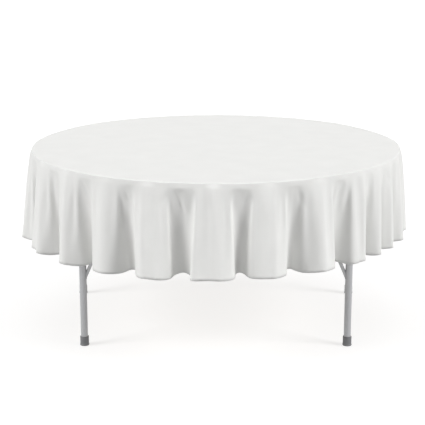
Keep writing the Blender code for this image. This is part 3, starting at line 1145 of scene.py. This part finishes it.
    def stitches(self, rings: np.ndarray) -> bpy.types.Object:
        """One line of lock stitches round the hem.

        Each stitch is a long eight-faced bead, whose six corners lie along the line, up
        the cloth and off it from the stitch's middle.

        Args:
            rings: The finished cloth's rows.

        Returns:
            All the stitches as one piece.
        """
        edge, above = rings[-1], rings[-2]
        upward = above - edge
        upward = upward / np.linalg.norm(upward, axis=1, keepdims=True)
        line = edge + self.stitch_line * upward + 1.1 * self.wall * surface_normals(rings)[-1]
        count = round(math.pi * self.diameter / self.stitch_pitch)
        spot = np.arange(count) / count * len(line)
        before = spot.astype(int)
        after = (before + 1) % len(line)
        share = (spot - before)[:, None]
        middle = line[before] * (1 - share) + line[after] * share
        along = line[after] - line[before]
        along = along / np.linalg.norm(along, axis=1, keepdims=True)
        climb = upward[before]
        outward = np.cross(along, climb)
        half = np.array([self.stitch_share * self.stitch_pitch, self.stitch_width,
                         self.stitch_rise]) / 2
        corners = np.stack([middle + half[0] * along, middle - half[0] * along,
                            middle + half[1] * climb, middle - half[1] * climb,
                            middle + half[2] * outward, middle - half[2] * outward], axis=1)
        faces = np.array([(0, 2, 4), (2, 1, 4), (1, 3, 4), (3, 0, 4),
                          (2, 0, 5), (1, 2, 5), (3, 1, 5), (0, 3, 5)])
        every = (np.arange(count)[:, None, None] * 6 + faces).reshape(-1, 3)
        piece = make_piece("hem_stitching", corners.reshape(-1, 3), np.zeros((0, 4), int), every)
        THREAD.dress(piece)
        return piece

    def add_flat_map(self, piece: bpy.types.Object, flat: np.ndarray) -> None:
        """Map each corner to its place on the flat cloth, in metres.

        Args:
            piece: The piece.
            flat: Where each of its points lies on the flat cloth.
        """
        mesh = piece.data
        corners = np.empty(len(mesh.loops), np.int32)
        mesh.loops.foreach_get("vertex_index", corners)
        layer = mesh.uv_layers.new(name="flat_cloth")
        layer.data.foreach_set("uv", flat[corners, :2].astype(np.float32).ravel())


# ---------------------------------------------------------------- the table


@dataclass
class TableTop:
    """The plywood board and the edging round it."""

    radius: float
    height: float
    thickness: float
    corner: float = 2.1 * MM
    band: float = 3 * MM
    gap: float = 0.3 * MM
    sides: int = 240

    def build(self) -> None:
        """Make the board and its edging."""
        bottom = np.array([0.0, 0.0, self.height - self.thickness])
        top = bottom + (0.0, 0.0, self.thickness)
        inner = self.radius - self.band - self.gap
        board = turned_piece("table_top_board", [(0, self.thickness), (inner, self.thickness),
                                                 (inner, 0), (0, 0)], bottom, top, self.sides)
        put_in_place(board, PLYWOOD, "table_top", Body.TABLE.value)
        turns = np.linspace(0, math.pi / 2, 5)
        outer = self.radius - self.corner
        upper = [(outer + self.corner * math.sin(t),
                  self.thickness - self.corner * (1 - math.cos(t))) for t in turns]
        lower = [(radius, self.thickness - height) for radius, height in reversed(upper)]
        inside = [(self.radius - self.band, 0.0), (self.radius - self.band, self.thickness)]
        band = turned_piece("vinyl_edging", upper + lower + inside, bottom, top, self.sides)
        put_in_place(band, VINYL, "edge_band", Body.TABLE.value)


# ---------------------------------------------------------------- leg frames and hardware


@dataclass
class LegFrame:
    """One folding leg frame: its tubes, welds and foot caps."""

    side: Side
    leg_wall: float = 1.2 * MM
    hinge_wall: float = 1.5 * MM
    strut_radius: float = 7.0 * MM
    strut_wall: float = 1.0 * MM
    crossbar_radius: float = 8.0 * MM
    crossbar_wall: float = 1.2 * MM
    thin_bead: float = 1.6 * MM
    cap_wall: float = 3 * MM
    cap_floor: float = 6 * MM
    cap_flare: float = 1.2 * MM
    grip_rings: int = 5
    grip_pitch: float = 5 * MM
    grip_start: float = 9 * MM
    grip_height: float = 0.45 * MM
    grip_recess: float = 0.2 * MM
    strut_foot: float = 0.265
    strut_lean: float = math.radians(23.5)
    gap: float = 0.3 * MM

    def build(self) -> None:
        """Make the frame's pieces."""
        prefix = self.side.prefix
        hinge_low, hinge_high = box_corners(f"{prefix}_hinge_tube")
        middle = (hinge_low + hinge_high) / 2
        hinge_radius = (hinge_high[2] - hinge_low[2]) / 2
        across = np.array([1.0, 0.0, 0.0])
        up = np.array([0.0, 0.0, 1.0])
        hinge = Trim(middle, across, hinge_radius + self.gap)
        self.place([Tube(hinge_low * (1, 0, 0) + middle * (0, 1, 1),
                         hinge_high * (1, 0, 0) + middle * (0, 1, 1),
                         hinge_radius, self.hinge_wall)], "hinge_tube")
        struts: Dict[int, Tube] = {}
        beads: List[np.ndarray] = []
        for sign, hand in ((-1, "left"), (1, "right")):
            low, high = box_corners(f"{prefix}_leg_{hand}")
            centre = (low + high) / 2
            radius = (high[0] - low[0]) / 2
            foot = np.array([centre[0], middle[1], low[2]])
            leg = Tube(foot, foot * (1, 1, 0) + middle * (0, 0, 1), radius, self.leg_wall,
                       end_trim=hinge)
            self.place([leg], f"leg_{hand}")
            root = foot * (1, 1, 0) + up * self.strut_foot
            rise = middle[2] - self.strut_foot
            top = root + np.array([-sign * rise * math.tan(self.strut_lean), 0.0, rise])
            struts[sign] = Tube(root, top, self.strut_radius, self.strut_wall,
                                Trim(root, up, radius + self.gap), hinge)
            self.place([struts[sign]], f"strut_{hand}")
            beads += [leg.weld(True), struts[sign].weld(False, self.thin_bead),
                      struts[sign].weld(True, self.thin_bead)]
            self.foot_cap(hand, foot * (1, 1, 0), radius)
        low, high = box_corners(f"{prefix}_crossbar")
        height = (low[2] + high[2]) / 2
        ends = []
        for sign in (-1, 1):
            strut = struts[sign]
            share = (height - strut.start[2]) / (strut.end[2] - strut.start[2])
            ends.append(strut.start + share * (strut.end - strut.start))
        trims = [Trim(ends[place], struts[sign].end - struts[sign].start,
                      self.strut_radius + self.gap) for place, sign in enumerate((-1, 1))]
        crossbar = Tube(ends[0], ends[1], self.crossbar_radius, self.crossbar_wall,
                        trims[0], trims[1])
        self.place([crossbar], "crossbar")
        beads += [crossbar.weld(False, self.thin_bead), crossbar.weld(True, self.thin_bead)]
        welds = closed_lofts(f"{prefix}_welds", beads)
        STEEL.dress(welds)
        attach(welds, self.side.body.value)
        report(welds)

    def place(self, tubes: Sequence[Tube], node: str) -> None:
        """Make a part of the frame.

        Args:
            tubes: The part's tubes.
            node: Its plain node's name after the frame's own.
        """
        name = f"{self.side.prefix}_{node}"
        piece = closed_lofts(f"{name}_steel", [tube.rings() for tube in tubes])
        put_in_place(piece, STEEL, name, self.side.body.value)

    def foot_cap(self, hand: str, foot: np.ndarray, leg_radius: float) -> None:
        """A cap with five grip rings, a rounded lip and a slightly wider foot.

        Its outside radius at height z is the cap's own, less the rings' recess, plus their
        height * the square of sin(pi * (z - grip start) / grip pitch).

        Args:
            hand: Which leg, left or right.
            foot: Where the leg's axis meets the floor.
            leg_radius: The leg tube's outside radius.
        """
        node = f"{self.side.prefix}_foot_cap_{hand}"
        top = float(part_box(node)[1][2])
        inner = leg_radius + self.gap
        outer = inner + self.cap_wall
        flare = self.cap_flare
        steps = 4 * self.grip_rings
        rings = [(outer - self.grip_recess + self.grip_height * math.sin(math.pi * step / 4) ** 2,
                  self.grip_start + self.grip_pitch * (self.grip_rings - step / 4))
                 for step in range(steps + 1)]
        lip = [(inner + 0.8 * MM, top), (outer - 1.0 * MM, top),
               (outer - 0.3 * MM, top - 0.3 * MM), (outer, top - 1.2 * MM)]
        heel = [(outer + 0.4 * flare, 7 * MM), (outer + flare, 4.5 * MM),
                (outer + flare, 1.6 * MM), (outer + 0.6 * flare, 0.4 * MM),
                (outer - 0.4 * MM, 0.0)]
        profile = [(0, self.cap_floor), (inner, self.cap_floor), (inner, top - 0.8 * MM),
                   *lip, *rings, *heel, (0, 0)]
        piece = turned_piece(f"{node}_moulded", profile, foot, foot + np.array([0.0, 0.0, 1.0]))
        put_in_place(piece, PLASTIC, node, self.side.body.value)


@dataclass
class Fastener:
    """A headed screw, pin or rivet: its node, body, axis number and sizes."""

    node: str
    body: str
    along: int
    head_radius: float
    shank_radius: float
    head: float
    pointed: bool
    tip_share: float = 0.6
    tip_chamfer: float = 0.5 * MM
    sides: int = 24

    def build(self) -> None:
        """Turn the fastener along its box, with a low domed head.

        The dome is a quarter turn t: its radius is the head's times sin t, and it lies
        the head's height times 1 - cos t below the head's top.
        """
        low, high = box_corners(self.node)
        centre = (low + high) / 2
        start, end = centre.copy(), centre.copy()
        start[self.along], end[self.along] = low[self.along], high[self.along]
        mesh = frame["nodes"][self.node].data
        points = np.empty(len(mesh.vertices) * 3, np.float32)
        mesh.vertices.foreach_get("co", points)
        points = points.reshape(-1, 3)
        away = np.delete(points - centre, self.along, axis=1)
        wide = points[np.hypot(away[:, 0], away[:, 1]) > 0.9 * self.head_radius, self.along]
        if wide.mean() > centre[self.along]:
            start, end = end, start
        length = float(np.linalg.norm(end - start))
        turns = np.linspace(math.pi / 2, 0, 6)[1:-1]
        dome = [(self.head_radius * math.sin(turn), self.head * (1 - math.cos(turn)))
                for turn in turns]
        tip = self.shank_radius * (self.tip_share if self.pointed else 1)
        profile = [(0, length), (tip, length), (self.shank_radius, length - self.tip_chamfer),
                   (self.shank_radius, self.head), (self.head_radius, self.head),
                   *dome, (0, 0)]
        piece = turned_piece(f"{self.node}_plated", profile, start, end, self.sides)
        put_in_place(piece, ZINC, self.node, self.body)


@dataclass
class Hardware:
    """The brackets, links, pins and screws of both frames."""

    screw_head: float = 4.5 * MM
    screw_shank: float = 2 * MM
    screw_dome: float = 2.4 * MM
    pin_head: float = 6.5 * MM
    pin_shank: float = 4 * MM
    pin_dome: float = 2.5 * MM

    def build(self) -> None:
        """Dress the pressed plates and links, and make the turned fasteners."""
        for body, nodes in frame["record"]["behaviour"]["bodies"].items():
            for node in nodes:
                if "screw" in node:
                    Fastener(node, body, Axis.UP.value, self.screw_head, self.screw_shank,
                             self.screw_dome, True).build()
                elif node.endswith(("_pin", "_rivet")):
                    Fastener(node, body, Axis.ACROSS.value, self.pin_head, self.pin_shank,
                             self.pin_dome, False).build()
                elif any(word in node for word in ("bracket", "anchor", "link")):
                    ZINC.dress(frame["nodes"][node])


# ---------------------------------------------------------------- floor, light, camera


class Lamp(NamedTuple):
    """A soft light far away: where it stands, how bright white paper is, its width."""

    name: str
    side: Point
    level: float
    width: float


@dataclass
class Studio:
    """A pale floor, soft lights and the camera.

    The focal length is a share of the frame's width. The room gives how bright the
    surroundings are at each height of the gaze, from -1 straight down to 1 straight up.
    """

    distance: float = 5.0
    camera_height: float = 1.701
    pitch: float = math.radians(13.85)
    pan: float = math.radians(-0.166)
    focal_share: float = 2.84941
    sensor: float = 36.0
    floor_side: float = 2000.0
    floor_glow: float = 0.72
    floor_colour: str = "#A8A8A8"
    room: Tuple[Tuple[float, float], ...] = (
        (-0.06, 0.45), (-0.03, 1.0), (0.10, 1.0), (0.30, 0.05))
    lamps: Tuple[Lamp, ...] = (
        Lamp("left_softbox", (-0.80, -0.32, 0.50), 0.67, math.radians(28)),
        Lamp("right_softbox", (0.80, -0.32, 0.50), 0.72, math.radians(28)),
        Lamp("overhead_softbox", (0.0, 0.0, 1.0), 0.27, math.radians(50)))

    def camera(self) -> None:
        """A long lens in front of the table, looking slightly down."""
        lens = bpy.data.cameras.new("camera")
        lens.sensor_width = self.sensor
        lens.lens = self.focal_share * self.sensor
        item = bpy.data.objects.new("camera", lens)
        item.location = (0.0, -self.distance, self.camera_height)
        item.rotation_euler = (math.pi / 2 - self.pitch, 0.0, -self.pan)
        bpy.context.scene.collection.objects.link(item)
        bpy.context.scene.camera = item

    def lights(self) -> None:
        """White walls, a dim ceiling, and a soft light on each side and overhead."""
        world = bpy.data.worlds.new("white_room")
        world.use_nodes = True
        tree = world.node_tree
        surroundings = tree.nodes["Background"]
        height = add_node(tree, "ShaderNodeSeparateXYZ",
                          Vector=add_node(tree, "ShaderNodeTexCoord").outputs["Generated"])
        share = add_node(tree, "ShaderNodeMapRange", Value=height.outputs["Z"],
                         From_Min=-1.0, From_Max=1.0)
        levels = add_node(tree, "ShaderNodeValToRGB", Fac=share.outputs["Result"])
        ramp = levels.color_ramp
        for stop, (rise, level) in enumerate(self.room):
            while len(ramp.elements) <= stop:
                ramp.elements.new(1.0)
            ramp.elements[stop].position = (rise + 1) / 2
            ramp.elements[stop].color = (level, level, level, 1.0)
        tree.links.new(levels.outputs["Color"], surroundings.inputs["Color"])
        bpy.context.scene.world = world
        bpy.context.scene.view_settings.view_transform = "Standard"
        for lamp in self.lamps:
            light = bpy.data.lights.new(lamp.name, "SUN")
            light.energy = lamp.level * math.pi
            light.angle = lamp.width
            item = bpy.data.objects.new(lamp.name, light)
            item.rotation_euler = Vector(lamp.side).to_track_quat("Z", "Y").to_euler()
            bpy.context.scene.collection.objects.link(item)

    def floor(self) -> None:
        """A plain pale floor, lit a little from beneath like a light table.

        It throws no light back up: the room's own level below the horizon does.
        """
        bpy.ops.mesh.primitive_plane_add(size=self.floor_side, location=(0, 0, -0.5 * MM))
        plane = bpy.context.object
        plane.name = "floor"
        plane.visible_diffuse = False
        material = bpy.data.materials.new("light_table")
        material.use_nodes = True
        shader = material.node_tree.nodes["Principled BSDF"]
        shader.inputs["Base Color"].default_value = linear(self.floor_colour)
        shader.inputs["Roughness"].default_value = 0.9
        shader.inputs["Specular IOR Level"].default_value = 0.0
        shader.inputs["Emission Color"].default_value = (1.0, 1.0, 1.0, 1.0)
        shader.inputs["Emission Strength"].default_value = self.floor_glow
        plane.data.materials.append(material)


def main() -> None:
    """Build everything in order, from the camera to the cloth."""
    logging.basicConfig(level=logging.INFO, format="%(message)s")
    studio = Studio()
    studio.camera()
    studio.floor()
    studio.lights()
    low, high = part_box("edge_band")
    top = TableTop(radius=float(high[0]), height=float(high[2]),
                   thickness=float(high[2] - low[2]))
    top.build()
    Tablecloth(table_radius=top.radius, table_height=top.height,
               edge_thickness=top.thickness).build()
    for side in Side:
        LegFrame(side).build()
    Hardware().build()


if __name__ == "__main__":
    main()
